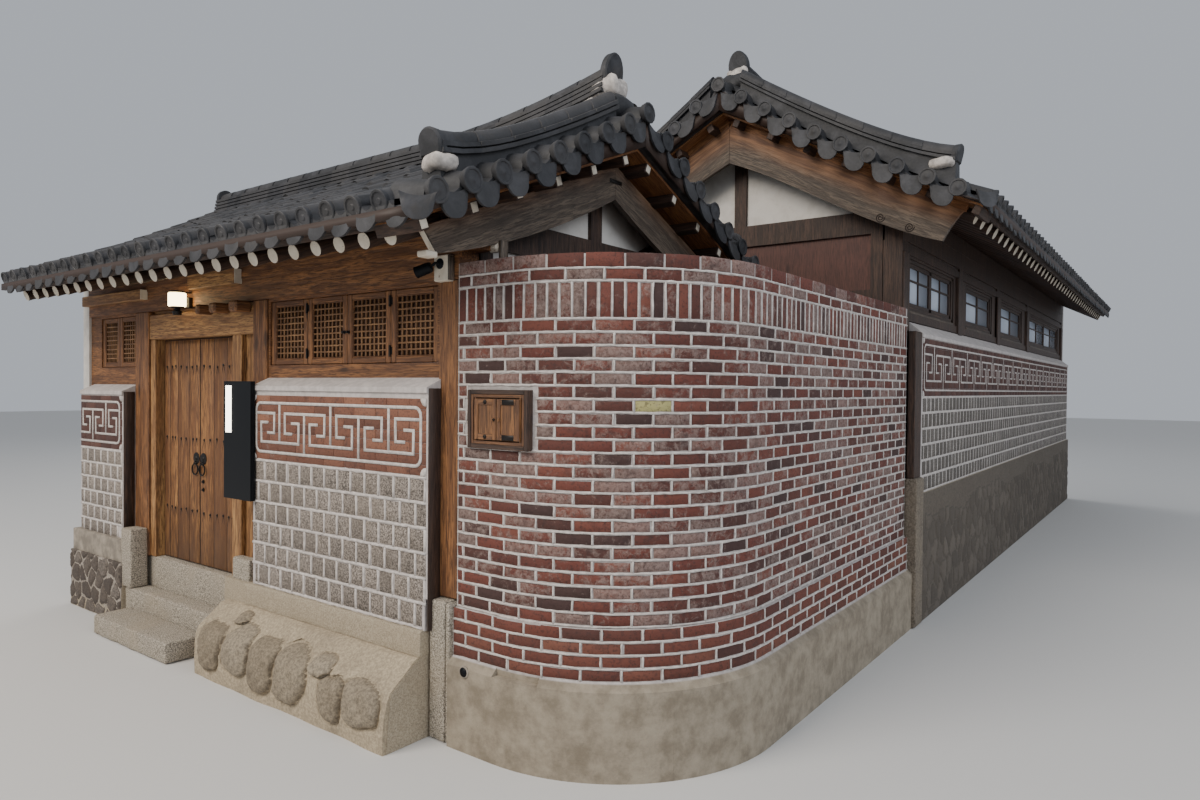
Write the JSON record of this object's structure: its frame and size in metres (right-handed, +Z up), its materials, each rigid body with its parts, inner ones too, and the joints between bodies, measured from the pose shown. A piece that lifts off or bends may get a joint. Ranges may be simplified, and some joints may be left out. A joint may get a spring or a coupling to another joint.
{
  "type": "hanok house",
  "caption": "Tile roofed Korean corner house: gate wing, long side wing and a rounded brick wall joining them, with opening gate leaves and a meter hatch.",
  "frame": {"origin": "middle of the footprint at the lowest ground level", "axes": "+X to the right along the front street, +Y back along the side street, +Z up"},
  "size_m": [6.87, 14.52, 5.06],
  "materials": {
    "stone": "rough hewn granite",
    "timber": "oiled, weathered",
    "aged_timber": "old grey brown boards",
    "plaster": "white lime plaster",
    "brick": "reclaimed brick with white joints",
    "facing": "granite blocks with white joints and a brick key band",
    "roof_tile": "fired blue black clay",
    "glass": "clear panes in dark sashes",
    "paper": "lattice sashes backed with paper",
    "iron": "black satin",
    "lamp": "warm lit glass with dark metal"
  },
  "bodies": {
    "house": {"gate_wing_platform": "stone", "threshold_stone": "stone", "upper_step": "stone", "lower_step": "stone", "corner_footing_stone": "stone", "corner_post": "timber", "gate_post_right": "timber", "gate_post_left": "timber", "gate_wing_front_beam": "timber", "front_panel_right": "facing", "front_panel_left": "facing", "front_wall_right": "timber", "front_wall_left": "timber", "front_window_right": "paper", "front_window_left": "paper", "gate_frame": "timber", "gate_lights": "lamp", "entry_panel": "iron", "gate_wing_rear_wall": "timber", "gate_wing_rear_glass": "glass", "gate_wing_gable_wall": "plaster", "gate_wing_gable_frame": "aged_timber", "gate_wing_party_wall": "plaster", "gate_wing_rafters": "timber", "gate_wing_roof_front": "roof_tile", "gate_wing_roof_rear": "roof_tile", "gate_wing_ridges": "roof_tile", "gate_wing_verge_timbers": "aged_timber", "brick_wall_hatch_bay": "brick", "brick_wall_curve_1": "brick", "brick_wall_curve_2": "brick", "brick_wall_side": "brick", "hatch_frame": "aged_timber", "side_wing_platform": "stone", "side_wing_panel": "facing", "side_wing_street_wall": "timber", "side_wing_court_wall": "timber", "side_wing_window_1": "glass", "side_wing_window_2": "glass", "side_wing_window_3": "glass", "side_wing_window_4": "glass", "side_wing_court_glass": "glass", "side_wing_gable_wall": "plaster", "side_wing_gable_frame": "aged_timber", "side_wing_back_wall": "plaster", "side_wing_rafters": "timber", "side_wing_roof_court": "roof_tile", "side_wing_roof_street": "roof_tile", "side_wing_ridges": "roof_tile", "side_wing_verge_timbers": "aged_timber"},
    "gate_leaf_left": {"gate_leaf_left": "timber"},
    "gate_leaf_right": {"gate_leaf_right": "timber"},
    "hatch_leaf_left": {"hatch_leaf_left": "aged_timber"},
    "hatch_leaf_right": {"hatch_leaf_right": "aged_timber"}
  },
  "joints": [
    {"name": "gate_left_swing", "type": "hinge", "parent": "house", "child": "gate_leaf_left", "pos_m": [-2.073, -6.532, 0.545], "axis": [0, 0, 1], "range_deg": [0, 90]},
    {"name": "gate_right_swing", "type": "hinge", "parent": "house", "child": "gate_leaf_right", "pos_m": [-0.962, -6.532, 0.545], "axis": [0, 0, -1], "range_deg": [0, 90]},
    {"name": "hatch_left_swing", "type": "hinge", "parent": "house", "child": "hatch_leaf_left", "pos_m": [1.5838, -6.655, 1.66], "axis": [0, 0, -1], "range_deg": [0, 95]},
    {"name": "hatch_right_swing", "type": "hinge", "parent": "house", "child": "hatch_leaf_right", "pos_m": [1.9052, -6.655, 1.66], "axis": [0, 0, 1], "range_deg": [0, 95]}
  ]
}
